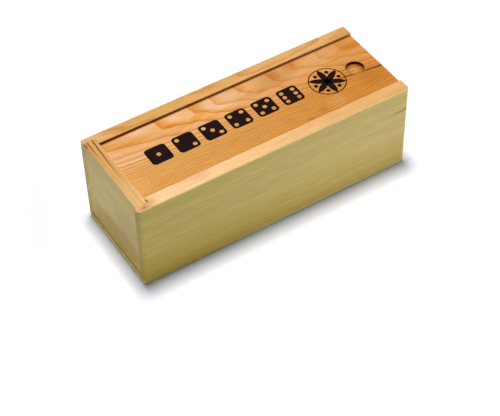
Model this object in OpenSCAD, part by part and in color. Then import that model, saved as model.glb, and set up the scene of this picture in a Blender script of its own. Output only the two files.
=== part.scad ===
// Pine storage box with a lid that slides in grooves.
// The origin is the centre of the underside. The lid slides out towards +X, +Z is up.

/* [Box] */
// Length over the ends of the side boards
box_length = 175; // [140:1:260]
// Width over the two side boards
box_width = 65; // [50:1:110]
// Height from the underside to the top of the side boards
box_height = 58; // [40:1:100]
// Thickness of each side board
side_thickness = 8; // [6.5:0.5:12]
// Radius of the upright outside corners
corner_radius = 2.5; // [1:0.25:3.5]
// Radius of the sanded outside top edges of the side boards
top_radius = 1.2; // [0.5:0.1:3]
// Radius of the inside top edge of each side board, along the lid
inner_radius = 0.3; // [0.1:0.05:0.6]

/* [Ends] */
// Thickness of the two end boards
end_thickness = 7; // [5:0.5:10]
// Distance that the end boards stand back from the ends of the side boards
end_setback = 1; // [0.2:0.1:4]
// Depth of the rabbets in the side boards that hold the end boards
rabbet_depth = 4; // [2:0.25:5.5]
// Gap left for glue at the bottom of each rabbet
glue_gap = 0.1; // [0.05:0.05:0.3]
// Chamfer along the top edges of the end boards
end_chamfer = 0.4; // [0.2:0.1:1]

/* [Base] */
// Thickness of the base sheet
base_thickness = 3; // [2:0.25:6]
// Chamfer around the underside of the base sheet
base_chamfer = 0.4; // [0.2:0.1:1]

/* [Lid] */
// Thickness of the lid
lid_thickness = 4.5; // [3:0.25:7]
// Depth of the lid's top below the tops of the side boards
lid_recess = 2; // [1.5:0.1:4]
// Depth of the lid's grooves in the side boards
groove_depth = 3.5; // [2:0.25:5.5]
// Depth of the groove in the closed end that takes the lid's tail
tail_groove_depth = 3; // [1.5:0.25:4]
// Play between each long edge of the lid and the bottom of its groove
lid_side_play = 0.3; // [0.2:0.05:1]
// Play between the lid's tail and the bottom of the groove in the closed end
lid_tail_play = 0.3; // [0.2:0.05:1]
// Free height between the lid and the roof of its grooves
lid_headroom = 0.8; // [0.2:0.05:0.9]
// Gap between the lid and the floor of its grooves
lid_floor_gap = 0.1; // [0.1:0.05:0.3]
// Gap between the lid and the top of the open end
open_end_gap = 0.3; // [0.2:0.05:1]
// Distance that the lid's free end stands back from the ends of the side boards
lid_setback = 0.1; // [0.1:0.1:3]
// Chamfer along the edges of the lid
lid_chamfer = 0.35; // [0.2:0.05:0.8]

/* [Finger notch] */
// Diameter of the drilled notch
notch_diameter = 11; // [8:0.5:20]
// Depth of the notch
notch_depth = 1.8; // [1:0.1:2.2]
// Distance from the lid's free end to the centre of the notch
notch_distance = 14.6; // [12:0.1:30]
// Diameter of the dimple that the bit's centre point leaves
dimple_diameter = 3; // [1.5:0.1:4]
// Depth of the dimple below the notch's floor
dimple_depth = 0.7; // [0.3:0.1:1]

/* [Brads] */
// Brads that hold the base to each side board
brads_per_side = 4; // [2:1:6]
// Brads that hold the base to each end board
brads_per_end = 2; // [1:1:3]
// Distance from the ends of the side boards to the outermost brads along them
brad_margin = 18; // [14:1:30]
// Distance between the two outermost brads of an end board
end_brad_spread = 26; // [16:1:34]
// Diameter of a brad's shank
brad_diameter = 1.2; // [0.8:0.1:1.6]
// Diameter of a brad's countersunk head
brad_head = 2.4; // [2:0.1:3.4]
// Height of the conical head
brad_head_height = 0.8; // [0.5:0.1:1.2]
// Length of a brad's point
brad_point = 1.8; // [1:0.1:3]
// Length of a brad, head and point included
brad_length = 13; // [9:0.5:20]
// Depth of the heads below the underside of the base
brad_sink = 0.2; // [0.1:0.05:0.5]
// Clearance between a brad and the hole that it makes
brad_clearance = 0.05; // [0.02:0.01:0.1]

/* [Hidden] */
$fn = 48;
// How far a cutting shape runs past the wood that it cuts
cut = 1;

half_length = box_length / 2;
half_width = box_width / 2;
side_height = box_height - base_thickness;
inner_half_width = half_width - side_thickness;

end_outer_x = half_length - end_setback;
end_inner_x = end_outer_x - end_thickness;
end_half_width = inner_half_width + rabbet_depth - glue_gap;

lid_top = box_height - lid_recess;
lid_bottom = lid_top - lid_thickness;
groove_floor = lid_bottom - lid_floor_gap;
groove_roof = lid_top + lid_headroom;
open_end_top = lid_bottom - open_end_gap;

lid_tail_x = -end_inner_x - tail_groove_depth + lid_tail_play;
lid_free_x = half_length - lid_setback;
lid_length = lid_free_x - lid_tail_x;
lid_half_width = inner_half_width + groove_depth - lid_side_play;
notch_x = lid_free_x - notch_distance;

side_brad_y = half_width - side_thickness / 2;
end_brad_x = end_outer_x - end_thickness / 2;
side_brad_step = (box_length - 2 * brad_margin) / (brads_per_side - 1);
side_brads = [for (side = [-1, 1], i = [0 : brads_per_side - 1])
    [-half_length + brad_margin + i * side_brad_step, side * side_brad_y]];
end_brads = [for (end = [-1, 1], i = [0 : brads_per_end - 1])
    [end * end_brad_x, brads_per_end == 1 ? 0 : (i / (brads_per_end - 1) - 0.5) * end_brad_spread]];
brad_places = concat(side_brads, end_brads);

// Rectangle with each corner rounded by a true arc or left square.
// The radii run anticlockwise from the corner at the origin.
module eased_rectangle(width, height, radii) {
    corners = [[0, 0], [width, 0], [width, height], [0, height]];
    difference() {
        square([width, height]);
        for (i = [0 : 3])
            if (radii[i] > 0)
                translate(corners[i]) rotate(90 * i) corner_waste(radii[i]);
    }
}

// What a round-over of the given radius takes off a corner at the origin
module corner_waste(radius) {
    difference() {
        translate([-cut, -cut]) square(radius + cut);
        translate([radius, radius]) circle(r = radius);
    }
}

// Extrudes an outline drawn in X and Z along Y, from y = 0 to the given depth
module extrude_along_y(depth) {
    translate([0, depth, 0]) rotate([90, 0, 0]) linear_extrude(height = depth) children();
}

// Extrudes an outline drawn in Y and Z along X, from x = 0 to the given length
module extrude_along_x(length) {
    rotate([90, 0, 90]) linear_extrude(height = length) children();
}

// One side board's blank: y = 0 is its outside face, and the sanded corners face that way
module side_blank() {
    intersection() {
        linear_extrude(height = side_height)
            eased_rectangle(box_length, side_thickness, [corner_radius, corner_radius, 0, 0]);
        extrude_along_x(box_length)
            eased_rectangle(side_thickness, side_height, [0, 0, inner_radius, top_radius]);
        extrude_along_y(side_thickness)
            eased_rectangle(box_length, side_height, [0, 0, top_radius, top_radius]);
    }
}

// Slot in which the lid slides, open at the free end of the side boards
module lid_groove() {
    translate([-end_outer_x, -inner_half_width - groove_depth, groove_floor])
        cube([end_outer_x + half_length + cut, 2 * (inner_half_width + groove_depth),
            groove_roof - groove_floor]);
}

// Rabbet at the end of a side board for the closed end, over its full height
module closed_rabbet() {
    translate([-half_length - cut, -inner_half_width - rabbet_depth, base_thickness - cut])
        cube([half_length - end_inner_x + cut, 2 * (inner_half_width + rabbet_depth),
            side_height + 2 * cut]);
}

// Rabbet for the open end, which stops at the floor of the lid's groove
module open_rabbet() {
    translate([end_inner_x, -inner_half_width - rabbet_depth, base_thickness - cut])
        cube([half_length - end_inner_x + cut, 2 * (inner_half_width + rabbet_depth),
            groove_floor - base_thickness + cut]);
}

// One brad, or the hole for it when it grows by the clearance all round
module brad(grow) {
    tip = brad_length + grow;
    rotate_extrude()
        polygon([
            [0, -grow],
            [brad_head / 2 + grow, -grow],
            [brad_diameter / 2 + grow, brad_head_height],
            [brad_diameter / 2 + grow, tip - brad_point],
            [0, tip],
        ]);
}

// Holes that the brads make, with the heads sunk below the underside
module brad_holes(places) {
    for (place = places)
        translate([place[0], place[1], brad_sink]) {
            brad(brad_clearance);
            translate([0, 0, -brad_sink - cut])
                cylinder(h = brad_sink + cut, r = brad_head / 2 + brad_clearance);
        }
}

// Side board with its lid groove and rabbets, outside face towards -Y
module side_board() {
    difference() {
        translate([-half_length, -half_width, base_thickness]) side_blank();
        lid_groove();
        closed_rabbet();
        open_rabbet();
        brad_holes([for (place = side_brads) if (place[1] < 0) place]);
    }
}

module front_side() {
    color([0.93, 0.76, 0.50]) side_board();
}

module back_side() {
    color([0.91, 0.72, 0.45]) mirror([0, 1, 0]) side_board();
}

// End board blank from its outside face at x = 0, with both top edges chamfered
module end_blank(height) {
    translate([0, end_half_width, 0]) rotate([90, 0, 0])
        linear_extrude(height = 2 * end_half_width)
            polygon([
                [0, 0],
                [end_thickness, 0],
                [end_thickness, height - end_chamfer],
                [end_thickness - end_chamfer, height],
                [end_chamfer, height],
                [0, height - end_chamfer],
            ]);
}

// The full-height end, with a groove in its inner face for the lid's tail
module closed_end() {
    color([0.90, 0.70, 0.42])
        difference() {
            translate([-end_outer_x, 0, base_thickness]) end_blank(side_height);
            translate([-end_inner_x - tail_groove_depth, -end_half_width - cut, groove_floor])
                cube([tail_groove_depth + cut, 2 * (end_half_width + cut),
                    groove_roof - groove_floor]);
            brad_holes([for (place = end_brads) if (place[0] < 0) place]);
        }
}

// The low end that the lid passes over
module open_end() {
    color([0.90, 0.70, 0.42])
        difference() {
            translate([end_inner_x, 0, base_thickness]) end_blank(open_end_top - base_thickness);
            brad_holes([for (place = end_brads) if (place[0] > 0) place]);
        }
}

// Thin sheet glued and nailed under the four walls
module base_board() {
    color([0.88, 0.74, 0.52])
        difference() {
            intersection() {
                translate([-half_length, -half_width, 0])
                    linear_extrude(height = base_thickness)
                        eased_rectangle(box_length, box_width,
                            [corner_radius, corner_radius, corner_radius, corner_radius]);
                translate([-half_length, -half_width, 0])
                    extrude_along_x(box_length) chamfered_sheet(box_width);
                translate([-half_length, -half_width, 0])
                    extrude_along_y(box_width) chamfered_sheet(box_length);
            }
            brad_holes(brad_places);
        }
}

// Section of the base sheet with its two bottom corners chamfered
module chamfered_sheet(width) {
    polygon([
        [base_chamfer, 0],
        [width - base_chamfer, 0],
        [width, base_chamfer],
        [width, base_thickness],
        [0, base_thickness],
        [0, base_chamfer],
    ]);
}

module base_brads() {
    color([0.62, 0.62, 0.64])
        for (place = brad_places)
            translate([place[0], place[1], brad_sink]) brad(0);
}

// Section of the lid, with all four corners chamfered
module lid_section(width) {
    polygon([
        [lid_chamfer, 0],
        [width - lid_chamfer, 0],
        [width, lid_chamfer],
        [width, lid_thickness - lid_chamfer],
        [width - lid_chamfer, lid_thickness],
        [lid_chamfer, lid_thickness],
        [0, lid_thickness - lid_chamfer],
        [0, lid_chamfer],
    ]);
}

// Flat panel that slides in the grooves, with a drilled notch for a fingertip
module lid() {
    color([0.89, 0.62, 0.30])
        difference() {
            intersection() {
                translate([lid_tail_x, -lid_half_width, lid_bottom])
                    extrude_along_x(lid_length) lid_section(2 * lid_half_width);
                translate([lid_tail_x, -lid_half_width, lid_bottom])
                    extrude_along_y(2 * lid_half_width) lid_section(lid_length);
            }
            translate([notch_x, 0, lid_top - notch_depth])
                cylinder(h = notch_depth + cut, r = notch_diameter / 2);
            translate([notch_x, 0, lid_top - notch_depth - dimple_depth])
                cylinder(h = dimple_depth, r1 = 0, r2 = dimple_diameter / 2);
        }
}

front_side();
back_side();
closed_end();
open_end();
base_board();
base_brads();
lid();
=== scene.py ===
"""Looks of a pine storage box with a lid that slides in grooves.

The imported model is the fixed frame. Its solids are the side boards, the end boards, the base
sheet, the brads and the lid, and this script gives them their wood and steel. It adds the marks
printed on the lid and the studio around the box. Blender works in metres. Sizes named here are
in millimetres unless they say otherwise, and MM turns them into metres.
"""

from __future__ import annotations

import logging
import math
from abc import ABC, abstractmethod
from collections.abc import Callable, Sequence
from dataclasses import dataclass
from enum import Enum
from typing import Union

import bpy
from mathutils import Matrix, Vector


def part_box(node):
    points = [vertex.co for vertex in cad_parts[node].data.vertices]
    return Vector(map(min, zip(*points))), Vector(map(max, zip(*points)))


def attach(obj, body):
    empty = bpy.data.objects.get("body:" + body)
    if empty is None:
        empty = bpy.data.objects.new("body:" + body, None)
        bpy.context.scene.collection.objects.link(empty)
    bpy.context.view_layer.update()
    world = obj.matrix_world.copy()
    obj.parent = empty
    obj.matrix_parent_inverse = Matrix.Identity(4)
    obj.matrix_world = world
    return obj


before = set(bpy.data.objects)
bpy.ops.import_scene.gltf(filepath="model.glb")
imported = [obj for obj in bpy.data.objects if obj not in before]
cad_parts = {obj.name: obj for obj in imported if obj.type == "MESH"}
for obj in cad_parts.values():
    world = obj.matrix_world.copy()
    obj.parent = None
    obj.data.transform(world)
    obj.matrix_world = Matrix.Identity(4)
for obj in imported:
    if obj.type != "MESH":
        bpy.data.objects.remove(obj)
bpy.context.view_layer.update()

MM = 0.001
log = logging.getLogger("domino_box")

Colour = tuple[float, float, float]
Point = tuple[float, float, float]
Spot = tuple[float, float]
Number = Union[float, "Field"]
Given = Union[float, tuple, "Field"]


class Field:
    """A number, point or colour that varies over a surface, with arithmetic on numbers."""

    def __init__(self, graph: Graph, socket: bpy.types.NodeSocket) -> None:
        """Keep the node output that carries the value, and the graph that it is in."""
        self.graph = graph
        self.socket = socket

    def __add__(self, other: Number) -> Field:
        """Sum."""
        return self.graph.math("ADD", self, other)

    __radd__ = __add__

    def __sub__(self, other: Number) -> Field:
        """Difference."""
        return self.graph.math("SUBTRACT", self, other)

    def __rsub__(self, other: Number) -> Field:
        """Difference, with the plain number first."""
        return self.graph.math("SUBTRACT", other, self)

    def __mul__(self, other: Number) -> Field:
        """Product."""
        return self.graph.math("MULTIPLY", self, other)

    __rmul__ = __mul__

    def __truediv__(self, other: Number) -> Field:
        """Quotient."""
        return self.graph.math("DIVIDE", self, other)

    def __pow__(self, other: Number) -> Field:
        """Power."""
        return self.graph.math("POWER", self, other)

    def fract(self) -> Field:
        """The part after the decimal point."""
        return self.graph.math("FRACT", self)

    def floor(self) -> Field:
        """The next whole number below."""
        return self.graph.math("FLOOR", self)

    def size(self) -> Field:
        """The value without its sign."""
        return self.graph.math("ABSOLUTE", self)

    def swing(self, span: Number) -> Field:
        """The value about one half, stretched to a swing of the span about zero."""
        return (self - 0.5) * span

    def root(self) -> Field:
        """Square root."""
        return self.graph.math("SQRT", self)

    def bell(self) -> Field:
        """A bell curve of the value: 1 at 0, falling to nothing by 2.5."""
        return self.graph.math("EXPONENT", self * self * -1.0)

    def wave(self) -> Field:
        """Sine of the value in radians."""
        return self.graph.math("SINE", self)

    def at_least(self, other: Number) -> Field:
        """The larger of two values."""
        return self.graph.math("MAXIMUM", self, other)

    def at_most(self, other: Number) -> Field:
        """The smaller of two values."""
        return self.graph.math("MINIMUM", self, other)

    def rise(self, low: float, high: float) -> Field:
        """A smooth step from 0 at low to 1 at high."""
        return self.graph.step(self, low, high)

    def fall(self, low: float, high: float) -> Field:
        """A smooth step from 1 at low to 0 at high."""
        return 1.0 - self.graph.step(self, low, high)


class Graph:
    """A node tree in the making, with one short method for each kind of node."""

    columns = 14

    def __init__(self, tree: bpy.types.NodeTree) -> None:
        """Start on a tree.

        Args:
            tree: The material's or the group's node tree.
        """
        self.tree = tree

    def add(self, kind: str, **settings: object) -> bpy.types.Node:
        """Add one node.

        Args:
            kind: The node's type name.
            **settings: Properties of the node to set.

        Returns:
            The new node.
        """
        count = len(self.tree.nodes)
        node = self.tree.nodes.new(kind)
        node.location = (200 * (count % self.columns), -260 * (count // self.columns))
        for name, value in settings.items():
            setattr(node, name, value)
        return node

    def plug(self, given: Given, socket: bpy.types.NodeSocket) -> None:
        """Feed an input with a field, or set it to a plain number, point or colour.

        Args:
            given: The field or the constant.
            socket: The input to feed.
        """
        if isinstance(given, Field):
            self.tree.links.new(given.socket, socket)
        elif isinstance(given, tuple) and socket.type == "RGBA":
            socket.default_value = (*given, 1.0)
        else:
            socket.default_value = given

    def math(self, operation: str, *values: Number) -> Field:
        """A math node on one or more numbers."""
        node = self.add("ShaderNodeMath", operation=operation)
        for value, socket in zip(values, node.inputs):
            self.plug(value, socket)
        return Field(self, node.outputs[0])

    def step(self, value: Field, low: float, high: float) -> Field:
        """A smooth step from 0 at low to 1 at high."""
        node = self.add("ShaderNodeMapRange", interpolation_type="SMOOTHSTEP")
        self.plug(value, node.inputs["Value"])
        self.plug(low, node.inputs["From Min"])
        self.plug(high, node.inputs["From Max"])
        return Field(self, node.outputs[0])

    def split(self, point: Field) -> tuple[Field, Field, Field]:
        """The three coordinates of a point."""
        node = self.add("ShaderNodeSeparateXYZ")
        self.plug(point, node.inputs[0])
        return tuple(Field(self, out) for out in node.outputs)

    def join(self, x: Number, y: Number, z: Number) -> Field:
        """A point from three coordinates."""
        node = self.add("ShaderNodeCombineXYZ")
        for value, socket in zip((x, y, z), node.inputs):
            self.plug(value, socket)
        return Field(self, node.outputs[0])

    def stretch(self, point: Field, factors: Point) -> Field:
        """A point with each coordinate multiplied by its own factor."""
        node = self.add("ShaderNodeVectorMath", operation="MULTIPLY")
        self.plug(point, node.inputs[0])
        self.plug(factors, node.inputs[1])
        return Field(self, node.outputs[0])

    def noise(self, point: Field, detail: float = 2.0, rough: float = 0.5) -> Field:
        """Smooth noise from 0 to 1, with a mean of one half."""
        node = self.add("ShaderNodeTexNoise")
        self.plug(point, node.inputs["Vector"])
        for name, value in (("Scale", 1.0), ("Detail", detail), ("Roughness", rough)):
            self.plug(value, node.inputs[name])
        return Field(self, node.outputs[0])

    def random(self, value: Field) -> Field:
        """A fixed random number from 0 to 1 for each value."""
        node = self.add("ShaderNodeTexWhiteNoise", noise_dimensions="1D")
        self.plug(value, node.inputs["W"])
        return Field(self, node.outputs["Value"])

    def blend(self, amount: Number, first: Given, second: Given) -> Field:
        """A colour that goes from the first to the second as the amount goes from 0 to 1."""
        node = self.add("ShaderNodeMix", data_type="RGBA")
        for value, socket in zip((amount, first, second), (node.inputs[i] for i in (0, 6, 7))):
            self.plug(value, socket)
        return Field(self, node.outputs[2])

    def shade(self, colour: Given, factor: Given) -> Field:
        """A colour multiplied by a number or by another colour."""
        if isinstance(factor, Field):
            node = self.add("ShaderNodeVectorMath", operation="SCALE")
            self.plug(factor, node.inputs["Scale"])
        else:
            node = self.add("ShaderNodeVectorMath", operation="MULTIPLY")
            self.plug(factor, node.inputs[1])
        self.plug(colour, node.inputs[0])
        return Field(self, node.outputs[0])

    def tint(self, amount: Number, colour: Field, factor: Given) -> Field:
        """A colour that is shaded by the factor as the amount goes from 0 to 1."""
        return self.blend(amount, colour, self.shade(colour, factor))

    def use(self, effect: Effect, **given: Given) -> dict[str, Field]:
        """Place a shared effect in this graph.

        Args:
            effect: The effect, whose group is built on its first use.
            **given: A field or constant for each named input.

        Returns:
            The group's outputs by name.
        """
        node = self.add("ShaderNodeGroup")
        node.node_tree = effect.tree()
        for name, value in given.items():
            self.plug(value, node.inputs[name])
        return {out.name: Field(self, out) for out in node.outputs}

    def place(self) -> Field:
        """The point on the object, in millimetres."""
        node = self.add("ShaderNodeTexCoord")
        return self.stretch(Field(self, node.outputs["Object"]), (1000.0, 1000.0, 1000.0))

    def facing(self) -> tuple[Field, Field, Field]:
        """The three coordinates of the surface's direction."""
        return self.split(Field(self, self.add("ShaderNodeNewGeometry").outputs["Normal"]))

    def bump(self, height: Field, depth: float) -> Field:
        """A normal from a height field.

        Args:
            height: The height, from 0 to 1.
            depth: The height difference that 0 to 1 stands for, in millimetres.

        Returns:
            The bent normal.
        """
        node = self.add("ShaderNodeBump")
        self.plug(height, node.inputs["Height"])
        self.plug(depth * MM, node.inputs["Distance"])
        self.plug(1.0, node.inputs["Strength"])
        return Field(self, node.outputs[0])


class Kind(Enum):
    """What a group's socket carries."""

    NUMBER = "NodeSocketFloat"
    POINT = "NodeSocketVector"


class Effect(ABC):
    """A shader node group with named inputs and outputs, built once and used by many finishes."""

    title: str
    takes: dict[str, Kind]
    gives: tuple[str, ...]

    def tree(self) -> bpy.types.NodeTree:
        """The group's node tree, built on the first call.

        Returns:
            The tree with its sockets and its nodes.
        """
        tree = bpy.data.node_groups.get(self.title)
        if tree is not None:
            return tree
        tree = bpy.data.node_groups.new(self.title, "ShaderNodeTree")
        for name, kind in self.takes.items():
            tree.interface.new_socket(name=name, in_out="INPUT", socket_type=kind.value)
        for name in self.gives:
            tree.interface.new_socket(name=name, in_out="OUTPUT", socket_type=Kind.NUMBER.value)
        graph = Graph(tree)
        entry = graph.add("NodeGroupInput")
        leave = graph.add("NodeGroupOutput")
        given = {name: Field(graph, entry.outputs[name]) for name in self.takes}
        for name, value in zip(self.gives, self.compose(graph, given)):
            graph.plug(value, leave.inputs[name])
        return tree

    @abstractmethod
    def compose(self, graph: Graph, given: dict[str, Field]) -> tuple[Field, ...]:
        """Build the group's nodes.

        Args:
            graph: The graph of the group's own tree.
            given: The group's inputs by name.

        Returns:
            One field for each name in gives, in that order.
        """


class GrowthRings(Effect):
    """Counts the year rings from the pith to a point of a board whose grain runs along X."""

    title = "growth_rings"
    takes = {"Place": Kind.POINT, "Pith": Kind.POINT, "Ring Width": Kind.NUMBER,
             "Taper": Kind.NUMBER, "Wander": Kind.NUMBER}
    gives = ("Rings",)
    slow_scale = (0.012, 0.05, 0.05)
    quick_scale = (0.035, 0.22, 0.22)
    slow_share, quick_share = 2.0, 0.5

    def compose(self, graph: Graph, given: dict[str, Field]) -> tuple[Field, ...]:
        """Distance from the pith, which leans by the taper, with slow and quick wandering."""
        x, y, z = graph.split(given["Place"])
        _, pith_y, pith_z = graph.split(given["Pith"])
        slow = graph.noise(graph.stretch(given["Place"], self.slow_scale), 1.0)
        quick = graph.noise(graph.stretch(given["Place"], self.quick_scale), 2.0)
        across, up = y - pith_y, z - pith_z
        radius = (across * across + up * up).root() + x * given["Taper"]
        wander = slow.swing(self.slow_share) + quick.swing(self.quick_share)
        return ((radius + wander * given["Wander"]) / given["Ring Width"],)


class RingTone(Effect):
    """Turns a count of rings into pale spring wood, dark summer wood and each ring's own tone."""

    title = "ring_tone"
    takes = {"Rings": Kind.NUMBER}
    gives = ("Summer Wood", "Ring Tone")
    onset, peak, border = 0.3, 0.93, 0.95
    sharpness = 1.7

    def compose(self, graph: Graph, given: dict[str, Field]) -> tuple[Field, ...]:
        """Summer wood comes on slowly through each ring and ends abruptly at its border."""
        phase = given["Rings"].fract()
        summer = phase.rise(self.onset, self.peak) ** self.sharpness * phase.fall(self.border, 1.0)
        return summer, graph.random(given["Rings"].floor())


class WoodFibre(Effect):
    """Fine streaks and short dashes along the grain, soft patches, and dark resin canals."""

    title = "wood_fibre"
    takes = {"Place": Kind.POINT}
    gives = ("Streaks", "Dashes", "Patches", "Canals")
    streak_scale = (0.028, 1.5, 1.5)
    dash_scale = (0.10, 0.72, 0.72)
    patch_scale = (0.014, 0.09, 0.09)
    canal_scale = (0.13, 3.4, 3.4)
    canal_onset = (0.75, 0.83)

    def compose(self, graph: Graph, given: dict[str, Field]) -> tuple[Field, ...]:
        """Noise that is stretched along X, which is the way of the grain."""
        place = given["Place"]
        streaks = graph.noise(graph.stretch(place, self.streak_scale), 3.0, 0.6)
        dashes = graph.noise(graph.stretch(place, self.dash_scale), 2.0, 0.6)
        patches = graph.noise(graph.stretch(place, self.patch_scale), 2.0)
        canals = graph.noise(graph.stretch(place, self.canal_scale), 0.0)
        return streaks, dashes, patches, canals.rise(*self.canal_onset)


class SandedHighlitEdges(Effect):
    """Finds the strips along the outer edges of a board, where hands and sandpaper rub and where
    the rounded edges get a painted highlight.
    """

    title = "sanded_highlit_edges"
    takes = {"Place": Kind.POINT, "Low": Kind.POINT, "High": Kind.POINT, "Reach": Kind.NUMBER}
    gives = ("Edge",)
    ragged_scale = (0.5, 0.5, 0.5)
    raggedness = 0.8

    def compose(self, graph: Graph, given: dict[str, Field]) -> tuple[Field, ...]:
        """On a face, the second shortest distance to the outer planes is that to an edge."""
        nearest = [
            (p - low).at_most(high - p)
            for p, low, high in zip(*(graph.split(given[n]) for n in ("Place", "Low", "High")))
        ]
        first, second, third = nearest
        middle = first.at_most(second).at_least(first.at_least(second).at_most(third))
        ragged = graph.noise(graph.stretch(given["Place"], self.ragged_scale), 2.0)
        return ((middle / given["Reach"] - ragged.swing(self.raggedness)).fall(0.0, 1.0),)


class SplitLine(Effect):
    """A drying split that opens from nothing at its start to its full width at its end."""

    title = "split_line"
    takes = {"Along": Kind.NUMBER, "Across": Kind.NUMBER, "Start": Kind.POINT,
             "End": Kind.POINT, "Width": Kind.NUMBER}
    gives = ("Split", "Stain")
    waver_scale, waver_size = 0.22, 1.1
    first_width = 0.35
    stain_reach = 1.6
    gap_edge = (0.5, 1.3)
    start_fade = (-0.02, 0.12)

    def compose(self, graph: Graph, given: dict[str, Field]) -> tuple[Field, ...]:
        """Distance from the straight line between two points, which wavers a little."""
        start_along, start_across, _ = graph.split(given["Start"])
        end_along, end_across, _ = graph.split(given["End"])
        share = (given["Along"] - start_along) / (end_along - start_along)
        waver = graph.noise(graph.join(given["Along"] * self.waver_scale, 3.0, 7.0), 3.0)
        line = start_across + (end_across - start_across) * share
        line = line + waver.swing(self.waver_size)
        gap = (given["Across"] - line).size()
        open_width = given["Width"] * (self.first_width + share * (1.0 - self.first_width))
        there = share.rise(*self.start_fade)
        stain = (gap / self.stain_reach).fall(0.0, 1.0)
        return (gap / open_width).fall(*self.gap_edge) * there, stain * there


class PinKnot(Effect):
    """A small knot or hole: a dark core with a brown rim."""

    title = "pin_knot"
    takes = {"Along": Kind.NUMBER, "Across": Kind.NUMBER, "Centre": Kind.POINT,
             "Long": Kind.NUMBER, "Short": Kind.NUMBER}
    gives = ("Core", "Rim")
    ragged_scale, raggedness = 1.7, 0.7
    core_edge, rim_edge = (0.35, 1.0), (0.8, 2.2)

    def compose(self, graph: Graph, given: dict[str, Field]) -> tuple[Field, ...]:
        """Distance from the knot's centre, measured in the knot's own radii."""
        along, across, _ = graph.split(given["Centre"])
        first = (given["Along"] - along) / given["Long"]
        second = (given["Across"] - across) / given["Short"]
        scale = self.ragged_scale
        ragged = graph.noise(graph.join(given["Along"] * scale, given["Across"] * scale, 0.0), 2.0)
        away = (first * first + second * second).root() + ragged.swing(self.raggedness)
        return away.fall(*self.core_edge), away.fall(*self.rim_edge)


class SoftOval(Effect):
    """An oval patch with a soft and slightly ragged border."""

    title = "soft_oval"
    takes = {"Along": Kind.NUMBER, "Across": Kind.NUMBER, "Centre": Kind.POINT,
             "Long": Kind.NUMBER, "Short": Kind.NUMBER}
    gives = ("Oval",)
    along_scale, across_scale, raggedness = 0.16, 0.3, 0.5
    border = (0.45, 1.15)

    def compose(self, graph: Graph, given: dict[str, Field]) -> tuple[Field, ...]:
        """Distance from the centre, measured in the oval's own radii."""
        along, across, _ = graph.split(given["Centre"])
        first = (given["Along"] - along) / given["Long"]
        second = (given["Across"] - across) / given["Short"]
        ragged = graph.noise(graph.join(
            given["Along"] * self.along_scale, given["Across"] * self.across_scale, 5.0), 2.0)
        away = (first * first + second * second).root() + ragged.swing(self.raggedness)
        return (away.fall(*self.border),)


GROWTH_RINGS = GrowthRings()
RING_TONE = RingTone()
WOOD_FIBRE = WoodFibre()
SANDED_HIGHLIT_EDGES = SandedHighlitEdges()
SPLIT_LINE = SplitLine()
PIN_KNOT = PinKnot()
SOFT_OVAL = SoftOval()


class Grain(Enum):
    """The way that a board's fibres run."""

    LENGTHWAYS = "x"
    CROSSWAYS = "y"


@dataclass(frozen=True)
class Split:
    """A drying split, by its two ends on the face that it shows on."""

    start: Spot
    end: Spot
    width: float
    depth: float = 0.85
    fade: float = 0.8

    def found(self, graph: Graph, along: Field, across: Field) -> dict[str, Field]:
        """The split and its stain on a face, by the coordinates along and across it."""
        return graph.use(SPLIT_LINE, Along=along, Across=across, Start=(*self.start, 0.0),
                         End=(*self.end, 0.0), Width=self.width)

    def opening(self, along: Field) -> Field:
        """Fades the split in over most of its length."""
        length = self.end[0] - self.start[0]
        return (along - self.start[0]).rise(0.0, length * self.fade)


@dataclass(frozen=True)
class Patch:
    """A soft oval in another tone, by its centre and its two radii: mostly the wood's own tone, and
    on the end board also painted light and painted shade.
    """

    centre: Spot
    long: float
    short: float
    tint: Colour

    def over(self, graph: Graph, along: Field, across: Field, colour: Field) -> Field:
        """A colour with the patch laid over it.

        Args:
            graph: The material's graph.
            along: The coordinate that the long radius is measured along.
            across: The coordinate that the short radius is measured along.
            colour: The colour below.

        Returns:
            The colour with the patch in it.
        """
        spot = graph.use(SOFT_OVAL, Along=along, Across=across, Centre=(*self.centre, 0.0),
                         Long=self.long, Short=self.short)
        return graph.tint(spot["Oval"], colour, self.tint)


@dataclass(frozen=True)
class Knot:
    """A pin knot or a small hole, by its centre and its radii along and across the board."""

    centre: Spot
    long: float
    short: float
    depth: float = 1.0
    core: Colour = (0.16, 0.05, 0.012)

    def found(self, graph: Graph, along: Field, across: Field) -> dict[str, Field]:
        """The knot's core and rim on a face, by the coordinates along and across it."""
        return graph.use(PIN_KNOT, Along=along, Across=across, Centre=(*self.centre, 0.0),
                         Long=self.long, Short=self.short)


@dataclass(frozen=True)
class Cavity:
    """The inner space of the box, whose walls were never lacquered, in millimetres."""

    low: Point
    high: Point
    skin: float = 0.15

    def inside(self, graph: Graph, place: Field) -> Field:
        """A mask of the bare wood inside.

        Args:
            graph: The material's graph.
            place: The point in millimetres.

        Returns:
            1 on the walls of the inner space, and 0 outside.
        """
        mask: Field | None = None
        for p, low, high in zip(graph.split(place), self.low, self.high):
            here = p.rise(low - 2 * self.skin, low - self.skin)
            here = here * p.fall(high + self.skin, high + 2 * self.skin)
            mask = here if mask is None else mask * here
        return mask


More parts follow.
